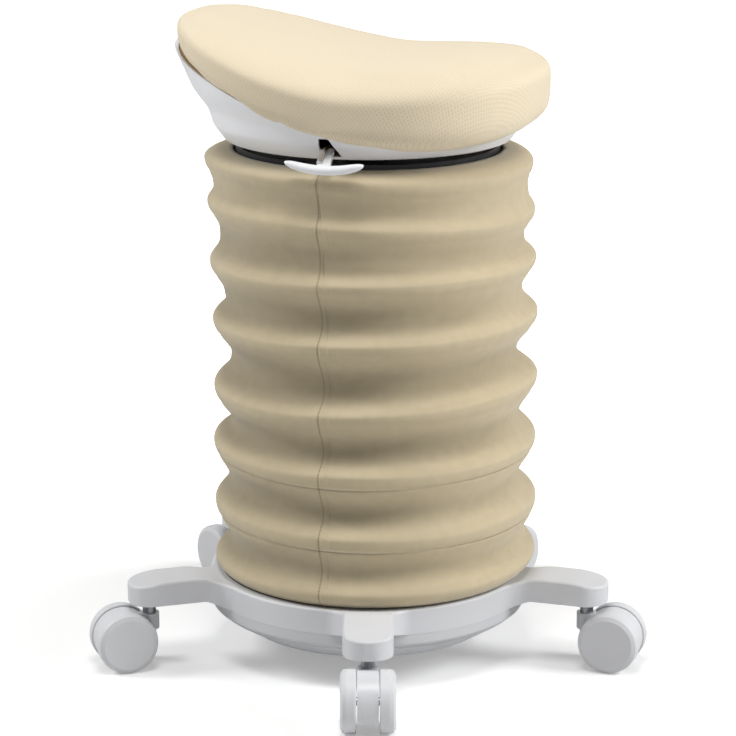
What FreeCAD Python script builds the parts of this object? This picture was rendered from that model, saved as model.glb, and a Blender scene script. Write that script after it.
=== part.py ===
import FreeCAD, Part

import math
import os

import Sketcher
from FreeCAD import Placement, Rotation, Vector

doc = FreeCAD.newDocument("wobble_stool")
ORIGIN = Vector(0, 0, 0)
UP = Vector(0, 0, 1)

# Driving dimensions in millimetres, angles in degrees.
# Heights are measured from the floor and radii from the column's axis.
DIMENSIONS = {
    "wheel_radius": 30.0,
    "wheel_width": 15.0,
    "wheel_gap": 22.0,
    "castor_trail": 26.4,
    "castor_circle": 226.8,
    "axle_radius": 4.0,
    "stem_radius": 6.5,
    "spigot_radius": 5.5,
    "running_gap": 0.05,
    "hood_width": 20.0,
    "hood_radius": 28.5,
    "hood_top": 54.0,
    "arm_half_width": 24.0,
    "arm_reach": 247.0,
    "arm_underside": 66.5,
    "arm_tip_top": 84.5,
    "arm_crest_top": 90.0,
    "arm_crest_reach": 198.0,
    "arm_root_radius": 24.0,
    "arm_edge_radius": 2.5,
    "arm_wall": 4.0,
    "drum_radius": 157.0,
    "drum_top": 84.0,
    "drum_bottom": 47.0,
    "drum_split": 59.0,
    "drum_bore": 128.0,
    "drum_floor": 54.0,
    "tray_radius": 121.0,
    "tray_bottom": 25.0,
    "tray_wall": 3.0,
    "pivot_height": 110.0,
    "pin_radius": 6.0,
    "bush_radius": 8.5,
    "ear_gap": 17.0,
    "ear_thickness": 10.0,
    "ear_radius": 15.0,
    "upper_plate": 150.0,
    "column_radius": 25.0,
    "column_wall": 2.5,
    "column_top": 364.0,
    "cylinder_radius": 14.0,
    "cylinder_bottom": 284.0,
    "cylinder_top": 519.0,
    "rod_radius": 5.0,
    "bellows_radius": 160.0,
    "bellows_bottom": 84.3,
    "bellows_bottom_radius": 150.0,
    "bellows_top": 511.0,
    "bellows_top_radius": 131.0,
    "bellows_wall": 2.0,
    "cap_height": 498.0,
    "shell_bottom": 517.0,
    "shell_foot_radius": 139.0,
    "shell_wall": 3.0,
    "shell_hole_radius": 26.0,
    "seat_turn": -16.0,
    "saddle_low": 529.0,
    "saddle_low_at": 100.0,
    "saddle_arc": 400.0,
    "saddle_straight_from": -40.0,
    "saddle_length": 352.0,
    "saddle_width": 328.0,
    "cushion_shift": -2.4,
    "seat_dip_height": 602.0,
    "cover_thickness": 2.5,
    "board_thickness": 7.0,
    "soft_gap": 0.3,
    "lever_height": 526.6,
    "lever_arm": 50.0,
    "lever_radius": 3.0,
    "handle_reach": 166.0,
    "handle_height": 515.5,
    "handle_length": 72.0,
}

ARMS = 5
ARM_STEP = 360.0 / ARMS
FRONT_ARM = -90.0

# Height of each fold's crest and of the valley above it, with the valley's radius.
CRESTS = [98, 154, 216, 276, 342, 399, 452, 496]
VALLEY_RADII = [147, 144, 142, 141, 146, 149, 153]


class Size:
    """A length known both as a number and as the expression that binds it to the sheet."""

    def __init__(self, value, text=None):
        self.value = float(value)
        self.text = text or f"{value:.6f}"

    def _join(self, other, sign, value):
        return Size(value, f"({self.text} {sign} {other.text})")

    def __add__(self, other):
        other = size(other)
        return self._join(other, "+", self.value + other.value)

    def __sub__(self, other):
        other = size(other)
        return self._join(other, "-", self.value - other.value)

    def __mul__(self, other):
        other = size(other)
        return self._join(other, "*", self.value * other.value)

    def __neg__(self):
        return Size(-self.value, f"(-1 * {self.text})")

    __radd__ = __add__
    __rmul__ = __mul__


def size(value):
    return value if isinstance(value, Size) else Size(value)


class Dimensions:
    """Spreadsheet of the driving dimensions; each is read back as a Size by its alias."""

    def __init__(self, values):
        self.sheet = doc.addObject("Spreadsheet::Sheet", "dims")
        for row, (alias, value) in enumerate(values.items(), start=1):
            self.sheet.set(f"A{row}", alias)
            self.sheet.set(f"B{row}", str(value))
            self.sheet.setAlias(f"B{row}", alias)
        self.values = dict(values)

    def __getattr__(self, alias):
        return Size(self.values[alias], f"dims.{alias}")


d = Dimensions(DIMENSIONS)
doc.recompute()

parts = []


def register(feature):
    parts.append(feature)
    return feature


def new_body(label):
    body = doc.addObject("PartDesign::Body", label)
    body.Label = label
    return register(body)


def add_sketch(body, plane, turn=0.0, lift=0.0):
    """Sketch on one of the body's own origin planes, turned about its normal and lifted along it."""
    sketch = body.newObject("Sketcher::SketchObject", f"{body.Name}_sketch")
    support = [f for f in body.Origin.OriginFeatures if f.Role == plane][0]
    sketch.AttachmentSupport = [(support, "")]
    sketch.MapMode = "FlatFace"
    sketch.AttachmentOffset = Placement(Vector(0, 0, lift), Rotation(UP, turn))
    return sketch


def relate(sketch, kind, *arguments):
    return sketch.addConstraint(Sketcher.Constraint(kind, *arguments))


def bind(sketch, kind, *arguments):
    """Constraint whose last argument is a Size, bound to the sheet."""
    value = size(arguments[-1])
    index = relate(sketch, kind, *arguments[:-1], value.value)
    sketch.setExpression(f"Constraints[{index}]", value.text)


def locate(sketch, shape, end, x, y):
    """Puts one end of a sketched shape at x, y from the sketch's origin."""
    bind(sketch, "DistanceX", -1, 1, shape, end, x)
    bind(sketch, "DistanceY", -1, 1, shape, end, y)


def outline(sketch, corners):
    """Closed outline of straight sides through (x, y) corners; a third value is left to round_corners."""
    points = [Vector(size(c[0]).value, size(c[1]).value, 0) for c in corners]
    sides = []
    for i, point in enumerate(points):
        line = Part.LineSegment(point, points[(i + 1) % len(points)])
        sides.append(sketch.addGeometry(line))
    for i, corner in enumerate(corners):
        relate(sketch, "Coincident", sides[i - 1], 2, sides[i], 1)
        locate(sketch, sides[i], 1, corner[0], corner[1])


def round_corners(body, corners, in_plane):
    """Fillets the edges that an outline's rounded corners made, one feature for each radius.

    A rounded corner is (x, y, radius), and in_plane gives a point's place in the outline's plane.
    """
    radii = []
    for corner in corners:
        if len(corner) > 2 and size(corner[2]).text not in [r.text for r in radii]:
            radii.append(size(corner[2]))
    for radius in radii:
        doc.recompute()
        base = body.Tip
        spots = [
            (size(c[0]).value, size(c[1]).value)
            for c in corners
            if len(c) > 2 and size(c[2]).text == radius.text
        ]
        names = []
        for index, edge in enumerate(base.Shape.Edges, start=1):
            ends = [in_plane(edge.valueAt(p)) for p in edge.ParameterRange]
            for spot in spots:
                if all(math.dist(end, spot) < 0.01 for end in ends):
                    names.append(f"Edge{index}")
        fillet = body.newObject("PartDesign::Fillet", f"{body.Name}_Fillet")
        fillet.Base = (base, names)
        fillet.Radius = radius.value
        fillet.setExpression("Radius", radius.text)
        body.Tip = fillet


def turned_view(point):
    return (math.hypot(point.x, point.y), point.z)


def side_view(point):
    return (point.x, point.z)


def plan_view(point):
    return (point.x, point.y)


def circle(sketch, x, y, radius):
    """Circle in a sketch, its centre and radius bound to the sheet."""
    centre = Vector(size(x).value, size(y).value, 0)
    shape = sketch.addGeometry(Part.Circle(centre, UP, size(radius).value))
    locate(sketch, shape, 3, x, y)
    bind(sketch, "Radius", shape, radius)


def box_outline(sketch, x0, y0, x1, y1, rounding=None):
    extra = () if rounding is None else (rounding,)
    corners = [(x0, y0) + extra, (x1, y0) + extra, (x1, y1) + extra, (x0, y1) + extra]
    outline(sketch, corners)
    return corners


def feature(body, kind, sketch, length=None, middle=False, reverse=False):
    """Pad or Pocket of a sketch, from its plane or to both sides of it."""
    made = body.newObject(f"PartDesign::{kind}", f"{body.Name}_{kind}")
    made.Profile = sketch
    length = size(length)
    made.Length = length.value
    made.setExpression("Length", length.text)
    made.Midplane = middle
    made.Reversed = reverse
    sketch.Visibility = False
    return made


def turn_feature(body, kind, sketch):
    """Revolution or Groove of a sketch about its vertical axis."""
    made = body.newObject(f"PartDesign::{kind}", f"{body.Name}_{kind}")
    made.Profile = sketch
    made.ReferenceAxis = (sketch, ["V_Axis"])
    made.Angle = 360
    return made


def round_pattern(body, original, count):
    """Repeats a feature evenly about the body's Z axis."""
    axis = [f for f in body.Origin.OriginFeatures if f.Role == "Z_Axis"][0]
    pattern = body.newObject("PartDesign::PolarPattern", f"{body.Name}_pattern")
    pattern.Originals = [original]
    pattern.Axis = (axis, [""])
    pattern.Angle = 360
    pattern.Occurrences = count
    body.Tip = pattern
    return pattern


def turned(label, corners):
    """Piece turned about the Z axis from an outline of (radius, height) corners."""
    body = new_body(label)
    sketch = add_sketch(body, "XZ_Plane")
    outline(sketch, corners)
    turn_feature(body, "Revolution", sketch)
    round_corners(body, corners, turned_view)
    return body


def ring(label, inner, outer, bottom, top, rounding=None):
    """Plain or rounded ring about the Z axis."""
    extra = () if rounding is None else (rounding,)
    return turned(
        label,
        [(inner, bottom), (outer, bottom) + extra, (outer, top) + extra, (inner, top)],
    )


def place(part, x=0.0, y=0.0, z=0.0, turn=0.0, tilt=None):
    """Places a part: an optional tilt about one axis, then a turn about Z, then a shift."""
    rotation = Rotation(UP, turn)
    if tilt is not None:
        rotation = rotation.multiply(Rotation(tilt[0], tilt[1]))
    part.Placement = Placement(
        Vector(size(x).value, size(y).value, size(z).value), rotation
    )
    for name, value in (("x", x), ("y", y), ("z", z)):
        if size(value).value:
            part.setExpression(f"Placement.Base.{name}", size(value).text)
    return part


def own_shape(label, shape):
    """Part whose shape is made by a function from the sheet's sizes."""
    part = doc.addObject("Part::Feature", label)
    part.Label = label
    part.Shape = shape
    return register(part)


def shaft(label, radius, length):
    """Plain round bar standing on the XY plane."""
    bar = doc.addObject("Part::Cylinder", label)
    bar.Label = label
    bar.Radius = size(radius).value
    bar.Height = size(length).value
    bar.setExpression("Radius", size(radius).text)
    bar.setExpression("Height", size(length).text)
    return register(bar)


# Base

def star_base():
    """Five-armed moulding: a revolved side view, with the gaps between the arms cut away in plan."""
    body = new_body("star_base")
    side = add_sketch(body, "XZ_Plane")
    corners = [
        (d.drum_bore, d.drum_floor - d.arm_wall),
        (d.drum_bore + d.arm_wall, d.drum_floor - d.arm_wall),
        (d.drum_bore + d.arm_wall, d.drum_split),
        (d.drum_radius, d.drum_split),
        (d.arm_crest_reach - 22, d.arm_underside, 14),
        (d.arm_reach + 6, d.arm_underside),
        (d.arm_reach + 6, d.arm_tip_top),
        (d.arm_crest_reach + 20, d.arm_crest_top, 70),
        (d.arm_crest_reach - 16, d.arm_crest_top, 70),
        (d.drum_radius, d.drum_top, 30),
        (d.drum_bore, d.drum_top),
    ]
    outline(side, corners)
    turn_feature(body, "Revolution", side)
    round_corners(body, corners, turned_view)
    gap = add_sketch(body, "XY_Plane")
    arm_gap(gap)
    gap_cut = feature(body, "Pocket", gap, 200, middle=True)
    round_pattern(body, gap_cut, ARMS)
    round_arm_tops(body)
    channel = add_sketch(body, "XZ_Plane")
    box_outline(
        channel,
        d.drum_bore + d.arm_wall,
        d.drum_bottom - 20,
        d.drum_radius - d.arm_wall - 1,
        d.drum_top - d.arm_wall - 1,
        2,
    )
    turn_feature(body, "Groove", channel)
    floor = add_sketch(body, "XZ_Plane")
    outline(
        floor,
        [
            (0, d.drum_floor - d.arm_wall),
            (d.drum_bore + 1, d.drum_floor - d.arm_wall),
            (d.drum_bore + 1, d.drum_floor),
            (0, d.drum_floor),
        ],
    )
    turn_feature(body, "Revolution", floor)
    pockets = add_sketch(body, "XY_Plane", turn=ARM_STEP / 2)
    for bay in range(3):
        box_outline(
            pockets,
            d.drum_radius + 6 + 17 * bay,
            d.arm_wall - d.arm_half_width,
            d.drum_radius + 20 + 17 * bay,
            d.arm_half_width - d.arm_wall,
            3,
        )
    hollow = feature(body, "Pocket", pockets, d.drum_top - d.arm_wall, reverse=True)
    round_pattern(body, hollow, ARMS)
    socket = add_sketch(body, "XY_Plane", turn=ARM_STEP / 2)
    circle(socket, d.castor_circle, 0, d.spigot_radius)
    socket_cut = feature(body, "Pocket", socket, d.drum_top - 3, reverse=True)
    round_pattern(body, socket_cut, ARMS)
    place(body, turn=FRONT_ARM + ARM_STEP / 2)


def round_arm_tops(body):
    """Rounds the upper outer edge all the way round the arms and the drum."""
    doc.recompute()
    base = body.Tip
    names = []
    for index, edge in enumerate(base.Shape.Edges, start=1):
        first, last = edge.ParameterRange
        spots = [edge.valueAt(first + (last - first) * share) for share in (0.0, 0.5, 1.0)]
        high = all(spot.z > d.drum_top.value - 3 for spot in spots)
        outer = all(math.hypot(spot.x, spot.y) > d.drum_radius.value - 2 for spot in spots)
        if high and outer and len(edge_sides(base.Shape, edge)) == 1:
            names.append(f"Edge{index}")
    fillet = body.newObject("PartDesign::Fillet", "star_base_top_rounding")
    fillet.Base = (base, names)
    fillet.Radius = d.arm_edge_radius.value
    fillet.setExpression("Radius", d.arm_edge_radius.text)
    body.Tip = fillet


def edge_sides(shape, edge):
    """Upright faces that meet at an edge."""
    upright = []
    for face in shape.ancestorsOfType(edge, Part.Face):
        u0, u1, v0, v1 = face.ParameterRange
        if abs(face.normalAt((u0 + u1) / 2, (v0 + v1) / 2).z) < 0.01:
            upright.append(face)
    return upright


def arm_gap(sketch):
    """Plan of the space between two arms: drum, concave roots, arm sides and rounded tips.

    The gap's middle line is the sketch's X axis, so the two arms beside it lie half a step to each side.
    """
    half = math.radians(ARM_STEP / 2)
    width, root = d.arm_half_width.value, d.arm_root_radius.value
    drum, reach, tip = d.drum_radius.value, d.arm_reach.value, d.arm_half_width.value - 3
    far = 330.0

    def point(along, off, sign):
        """A point given along an arm's middle line and off it towards the gap."""
        x = along * math.cos(half) + off * math.sin(half)
        y = along * math.sin(half) - off * math.cos(half)
        return Vector(x, sign * y, 0)

    root_along = math.sqrt((drum + root) ** 2 - (width + root) ** 2)
    diagonal = tip * (1 - math.sqrt(0.5))
    drum_ends = {}
    corners = {}
    for sign in (1, -1):
        centre = point(root_along, width + root, sign)
        on_drum = centre * (drum / (drum + root))
        on_side = point(root_along, width, sign)
        between = centre + ((on_drum + on_side) * 0.5 - centre).normalize() * root
        path = [
            Part.Arc(on_drum, between, on_side),
            Part.LineSegment(on_side, point(reach - tip, width, sign)),
            Part.Arc(
                point(reach - tip, width, sign),
                point(reach - diagonal, width - diagonal, sign),
                point(reach, width - tip, sign),
            ),
            Part.LineSegment(point(reach, width - tip, sign), point(reach, 0, sign)),
            Part.LineSegment(point(reach, 0, sign), point(far, 0, sign)),
        ]
        for shape in path:
            sketch.addGeometry(shape)
        drum_ends[sign] = on_drum
        corners[sign] = point(far, 0, sign)
    sketch.addGeometry(Part.Arc(drum_ends[-1], Vector(drum, 0, 0), drum_ends[1]))
    sketch.addGeometry(Part.LineSegment(corners[1], corners[-1]))


def base_pieces():
    star_base()
    turned(
        "base_tray",
        [
            (0, d.tray_bottom),
            (d.tray_radius, d.tray_bottom, 8),
            (d.drum_radius - 6, d.drum_bottom - 3.5),
            (d.drum_radius - 6, d.drum_bottom),
            (d.drum_radius, d.drum_bottom, 3),
            (d.drum_radius, d.drum_split - 0.1),
            (d.drum_radius - 3, d.drum_split - 0.1),
            (d.drum_radius - 3, d.drum_bottom + 3),
            (d.drum_radius - 9, d.drum_bottom + 3),
            (d.drum_radius - 9, d.drum_bottom - d.soft_gap),
            (d.tray_radius - 2, d.tray_bottom + d.tray_wall, 8),
            (0, d.tray_bottom + d.tray_wall),
        ],
    )
    ring("rubber_stop", 56, 68, d.drum_floor, d.upper_plate - 13.5, 2)
    ring(
        "bellows_lower_ring",
        d.bellows_bottom_radius - 14,
        d.bellows_bottom_radius - 3,
        d.drum_top,
        d.drum_top + 3,
    )


# Castors

def castor_stem(number, x, y):
    stem = turned(
        f"castor_stem_{number}",
        [
            (0, 34.0),
            (d.stem_radius, 34.0, 1),
            (d.stem_radius, d.arm_underside),
            (d.spigot_radius - 0.02, d.arm_underside),
            (d.spigot_radius - 0.02, d.drum_top - 5, 1.5),
            (0, d.drum_top - 5),
        ],
    )
    place(stem, x, y)


def castor_hood(number, x, y, turn):
    """Hood between the twin wheels: a band over them, a thin web, the axle boss and the stem's boss."""
    body = new_body(f"castor_hood_{number}")
    disc = add_sketch(body, "XZ_Plane")
    circle(disc, d.castor_trail, d.wheel_radius, d.hood_radius)
    feature(body, "Pad", disc, d.hood_width, middle=True)
    for side in (1, -1):
        recess = add_sketch(body, "XZ_Plane", lift=side * 3.0)
        circle(recess, d.castor_trail, d.wheel_radius, d.hood_radius - 3.5)
        circle(recess, d.castor_trail, d.wheel_radius, d.axle_radius + 4)
        feature(body, "Pocket", recess, 10, reverse=side > 0)
    boss = add_sketch(body, "XY_Plane", lift=38.0)
    circle(boss, 0, 0, d.stem_radius + 3.2)
    feature(body, "Pad", boss, d.hood_top - 38.0)
    opening = add_sketch(body, "XZ_Plane")
    outline(
        opening,
        [
            (d.castor_trail + 40, d.wheel_radius - 12),
            (d.castor_trail + 9, d.wheel_radius - 12, 3),
            (d.castor_trail + 5, d.wheel_radius - 8.5, 8),
            (d.castor_trail - 6, d.wheel_radius - 8.5, 5),
            (-20, d.wheel_radius + 8),
            (-20, -10),
            (d.castor_trail + 40, -10),
        ],
    )
    feature(body, "Pocket", opening, 60, middle=True)
    bores = add_sketch(body, "XZ_Plane")
    circle(bores, d.castor_trail, d.wheel_radius, d.axle_radius + 0.02)
    feature(body, "Pocket", bores, 60, middle=True)
    stem_bore = add_sketch(body, "XY_Plane", lift=33.9)
    circle(stem_bore, 0, 0, d.stem_radius + d.running_gap)
    feature(body, "Pocket", stem_bore, 40, reverse=True)
    place(body, x, y, turn=turn)


def castor_wheel(label, x, y, turn, side):
    """One wheel of a pair: closed outer disc with a bevelled rim, open inner side with hub and web."""
    wheel = turned(
        label,
        [
            (0, d.wheel_width),
            (d.wheel_radius - 5, d.wheel_width, 1),
            (d.wheel_radius - 1, d.wheel_width - 2.2, 1),
            (d.wheel_radius, d.wheel_width - 6),
            (d.wheel_radius, 0, 1.5),
            (d.wheel_radius - 4, 0),
            (d.wheel_radius - 5, d.wheel_width - 5, 2),
            (d.axle_radius + 5, d.wheel_width - 5, 2),
            (d.axle_radius + 4, 0),
            (d.axle_radius + d.running_gap, 0),
            (d.axle_radius + d.running_gap, d.wheel_width - 3),
            (0, d.wheel_width - 3),
        ],
    )
    across = Rotation(UP, turn).multVec(Vector(0, side, 0))
    centre = Rotation(UP, turn).multVec(Vector(d.castor_trail.value, 0, 0))
    offset = across * (d.wheel_gap.value / 2)
    place(
        wheel,
        x + (centre.x + offset.x),
        y + (centre.y + offset.y),
        d.wheel_radius,
        turn,
        (Vector(1, 0, 0), -90 * side),
    )


def castor_pieces():
    for number in range(1, ARMS + 1):
        turn = FRONT_ARM + ARM_STEP * (number - 1)
        x = d.castor_circle * math.cos(math.radians(turn))
        y = d.castor_circle * math.sin(math.radians(turn))
        castor_stem(number, x, y)
        castor_hood(number, x, y, turn)
        length = d.wheel_gap + (d.wheel_width - 3.2) * 2
        axle = shaft(f"castor_axle_{number}", d.axle_radius, length)
        centre = Rotation(UP, turn).multVec(Vector(d.castor_trail.value, -length.value / 2, 0))
        place(axle, x + centre.x, y + centre.y, d.wheel_radius, turn, (Vector(1, 0, 0), -90))
        for letter, side in (("a", 1), ("b", -1)):
            castor_wheel(f"castor_wheel_{number}{letter}", x, y, turn, side)


# Wobble joint

def yoke(label, plate_bottom, plate_top, plate_radius, turn):
    """Round plate with two bored ears that carry one pin of the cross."""
    body = new_body(label)
    plate = add_sketch(body, "XY_Plane", lift=0.0)
    plate.setExpression("AttachmentOffset.Base.z", size(plate_bottom).text)
    circle(plate, 0, 0, plate_radius)
    feature(body, "Pad", plate, plate_top - plate_bottom)
    above = size(plate_bottom).value > d.pivot_height.value
    rim = plate_bottom + 1 if above else plate_top - 1
    for side in (1, -1):
        ear = add_sketch(body, "XZ_Plane", lift=side * (d.ear_gap.value + d.ear_thickness.value / 2))
        end = d.pivot_height - d.ear_radius if above else d.pivot_height + d.ear_radius
        corners = [
            (-d.ear_radius, rim),
            (d.ear_radius, rim),
            (d.ear_radius, end, d.ear_radius - 0.5),
            (-d.ear_radius, end, d.ear_radius - 0.5),
        ]
        outline(ear, corners)
        feature(body, "Pad", ear, d.ear_thickness, middle=True)
    round_corners(body, corners, side_view)
    bore = add_sketch(body, "XZ_Plane")
    circle(bore, 0, d.pivot_height, d.bush_radius)
    feature(body, "Pocket", bore, 100, middle=True)
    place(body, turn=turn)
    return body


def bush_pair(label, turn):
    """Two flanged bushes, one in each ear of a yoke."""
    inner, outer = d.pin_radius + d.running_gap, d.bush_radius - 0.02
    length = d.ear_thickness.value
    flange = 1.2
    shapes = []
    for side in (1, -1):
        tube = Part.makeCylinder(outer.value, length, ORIGIN, UP)
        lip = Part.makeCylinder(outer.value + 2.5, flange, Vector(0, 0, -flange), UP)
        bore = Part.makeCylinder(inner.value, length + 10, Vector(0, 0, -5), UP)
        bush = tube.fuse(lip).removeSplitter().cut(bore)
        bush.Placement = Placement(
            Vector(0, side * d.ear_gap.value, 0), Rotation(Vector(1, 0, 0), -90 * side)
        )
        shapes.append(bush)
    part = own_shape(label, Part.makeCompound(shapes))
    place(part, z=d.pivot_height, turn=turn)


def cardan_cross():
    """Cross of two pins at right angles through one block."""
    half = d.ear_gap + d.ear_thickness + 2
    block = d.ear_gap.value - 1.5
    shape = Part.makeBox(2 * block, 2 * block, 2 * block, Vector(-block, -block, -block))
    shape = shape.makeChamfer(4, shape.Edges)
    for axis in (Vector(1, 0, 0), Vector(0, 1, 0)):
        pin = Part.makeCylinder(d.pin_radius.value, 2 * half.value, axis * -half.value, axis)
        shape = shape.fuse(pin)
    part = own_shape("cardan_cross", shape.removeSplitter())
    place(part, z=d.pivot_height)


def joint_pieces():
    yoke("lower_yoke", d.drum_floor, d.drum_floor + 8, 46, 0)
    yoke("upper_yoke", d.upper_plate, d.upper_plate + 7, 68, 90)
    bush_pair("lower_bushes", 0)
    bush_pair("upper_bushes", 90)
    cardan_cross()
    screws("base_screws", 4, 36, d.drum_floor + 8, 5.0)


def screws(label, count, circle_radius, seat, head_radius):
    """Socket-head screws in a ring, with the shank left inside the piece that it clamps."""
    shapes = []
    for index in range(count):
        angle = math.radians(45 + 360 / count * index)
        centre = Vector(circle_radius * math.cos(angle), circle_radius * math.sin(angle), 0)
        head = Part.makeCylinder(head_radius, 4, centre, UP)
        hexagon = Part.makePolygon(
            [
                centre + Vector(2.3 * math.cos(a), 2.3 * math.sin(a), 2)
                for a in [math.radians(60 * k) for k in range(7)]
            ]
        )
        key = Part.Face(hexagon).extrude(Vector(0, 0, 4))
        shapes.append(head.cut(key))
    part = own_shape(label, Part.makeCompound(shapes))
    place(part, z=seat)


# Column

def column_pieces():
    bottom = d.upper_plate + 7
    turned(
        "column_tube",
        [
            (0, bottom),
            (d.column_radius + 14, bottom, 2),
            (d.column_radius + 14, bottom + 5, 2),
            (d.column_radius, bottom + 8, 3),
            (d.column_radius, d.column_top),
            (d.column_radius - d.column_wall, d.column_top),
            (d.column_radius - d.column_wall, bottom + 6),
            (0, bottom + 6),
        ],
    )
    bush_outer = d.column_radius - d.column_wall - 0.02
    turned(
        "guide_bush",
        [
            (d.cylinder_radius + d.running_gap, d.column_top - 70),
            (bush_outer, d.column_top - 70),
            (bush_outer, d.column_top + 0.02),
            (d.column_radius - 0.5, d.column_top + 0.02),
            (d.column_radius - 0.5, d.column_top + 4, 1.5),
            (d.cylinder_radius + d.running_gap, d.column_top + 4),
        ],
    )
    ring("thrust_bearing", d.rod_radius + 0.2, 12, bottom + 6.1, bottom + 10, 1)
    turned(
        "piston_rod",
        [
            (0, bottom + 10.1),
            (d.rod_radius + 3, bottom + 10.1),
            (d.rod_radius + 3, bottom + 13),
            (d.rod_radius, bottom + 13),
            (d.rod_radius, d.cylinder_bottom + 30),
            (d.cylinder_radius - 2.05, d.cylinder_bottom + 30),
            (d.cylinder_radius - 2.05, d.cylinder_bottom + 42),
            (0, d.cylinder_bottom + 42),
        ],
    )


def gas_cylinder():
    """Pressure tube that slides over the piston and carries the seat on its closed head."""
    bottom, top = d.cylinder_bottom, d.cylinder_top
    turned(
        "gas_cylinder",
        [
            (d.rod_radius + d.running_gap, bottom),
            (d.cylinder_radius, bottom, 1),
            (d.cylinder_radius, top, 1.5),
            (5.05, top),
            (5.05, top - 9),
            (0, top - 9),
            (0, top - 14),
            (d.cylinder_radius - 2, top - 14),
            (d.cylinder_radius - 2, bottom + 8),
            (d.rod_radius + d.running_gap, bottom + 8),
        ],
    )
    turned(
        "valve_button",
        [(0, top - 4.5), (5, top - 4.5), (5, top + 4, 1), (0, top + 4)],
    )


def cap_pieces():
    """Plate on the sliding cylinder that holds up the top of the bellows."""
    low = d.cap_height
    turned(
        "bellows_cap",
        [
            (d.cylinder_radius + d.running_gap, low - 14),
            (d.cylinder_radius + 8, low - 14, 2),
            (d.cylinder_radius + 8, low - 2, 4),
            (d.bellows_top_radius - 5, low - 2, 2),
            (d.bellows_top_radius - 5, low + 4),
            (d.bellows_top_radius - 8, low + 4),
            (d.bellows_top_radius - 8, low + 1),
            (d.cylinder_radius + d.running_gap, low + 1),
        ],
    )
    ring(
        "bellows_upper_ring",
        d.bellows_top_radius - 4.9,
        d.bellows_top_radius - 2.4,
        low - 1,
        d.bellows_top,
        0.8,
    )
    ring("swivel_bearing", d.cylinder_radius + 0.3, 24, low + 1.1, low + 4, 1)


# Bellows

def bellows():
    """Knitted sleeve with a fold at each hoop: crests at the hoops, drawn-in valleys between them."""
    outer = [(d.bellows_bottom_radius.value, d.bellows_bottom.value)]
    for index, crest in enumerate(CRESTS):
        outer.append((d.bellows_radius.value, crest - 3))
        outer.append((d.bellows_radius.value, crest + 3))
        if index < len(VALLEY_RADII):
            gap = CRESTS[index + 1] - crest
            outer.append((VALLEY_RADII[index], crest + 0.42 * gap))
            outer.append((VALLEY_RADII[index], crest + 0.62 * gap))
    outer.append((d.bellows_top_radius.value + 10, d.bellows_top.value - 3))
    outer.append((d.bellows_top_radius.value, d.bellows_top.value))
    wall = d.bellows_wall.value
    inner = [(radius - wall, height) for radius, height in outer]
    points = [Vector(r, 0, z) for r, z in outer + inner[::-1]]
    face = Part.Face(Part.makePolygon(points + points[:1]))
    place(own_shape("bellows", face.revolve(ORIGIN, UP, 360)))


def bellows_hoops():
    """Flat sprung hoops sewn inside the crests of the sleeve, one to a fold."""
    radius = d.bellows_radius.value - d.bellows_wall.value - 0.4
    shapes = []
    for crest in CRESTS:
        outer = Part.makeCylinder(radius, 4, Vector(0, 0, crest - 2), UP)
        shapes.append(outer.cut(Part.makeCylinder(radius - 1.2, 4, Vector(0, 0, crest - 2), UP)))
    place(own_shape("bellows_hoops", Part.makeCompound(shapes)))


# Seat. Its own frame has X along the saddle towards the front and Y across it.

def saddle_height(along):
    """Height of the saddle's underside at a distance along the seat."""
    low, low_at = d.saddle_low.value, d.saddle_low_at.value
    radius, straight = d.saddle_arc.value, d.saddle_straight_from.value

    def arc(x):
        return low + radius - math.sqrt(radius**2 - (x - low_at) ** 2)

    if along >= straight:
        return arc(along)
    run = straight - low_at
    slope = run / math.sqrt(radius**2 - run**2)
    return arc(straight) + slope * (along - straight)


def saddle_band(bottom_shift, top_shift):
    """Slab between two copies of the saddle's underside, wider than the seat."""
    low, low_at = d.saddle_low.value, d.saddle_low_at.value
    radius, straight = d.saddle_arc.value, d.saddle_straight_from.value
    rear, front, side = -215.0, 215.0, 200.0
    edges = []
    middle = (straight + front) / 2
    for shift in (bottom_shift, top_shift):
        at = [
            Vector(x, -side, saddle_height(x) + shift) for x in (rear, straight, middle, front)
        ]
        edges.append((Part.LineSegment(at[0], at[1]), Part.Arc(at[1], at[2], at[3]), at))
    lower, upper = edges
    wire = Part.Wire(
        [
            lower[0].toShape(),
            lower[1].toShape(),
            Part.makeLine(lower[2][3], upper[2][3]),
            upper[1].toShape(),
            upper[0].toShape(),
            Part.makeLine(upper[2][0], lower[2][0]),
        ]
    )
    return Part.Face(wire).extrude(Vector(0, 2 * side, 0))


def shell_profile(inset):
    """Outline of the seat shell's bowl as (radius, height) points, drawn in by an inset."""
    foot, low = d.shell_foot_radius, d.shell_bottom
    rise = size(inset)
    return [
        (foot - inset, low + rise, 3),
        (foot + 11 - inset, low + 15, 12),
        (foot + 16 - inset, low + 31, 20),
        (foot + 31 - inset, low + 51, 60),
        (foot + 53 - inset, low + 103),
    ]


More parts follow.
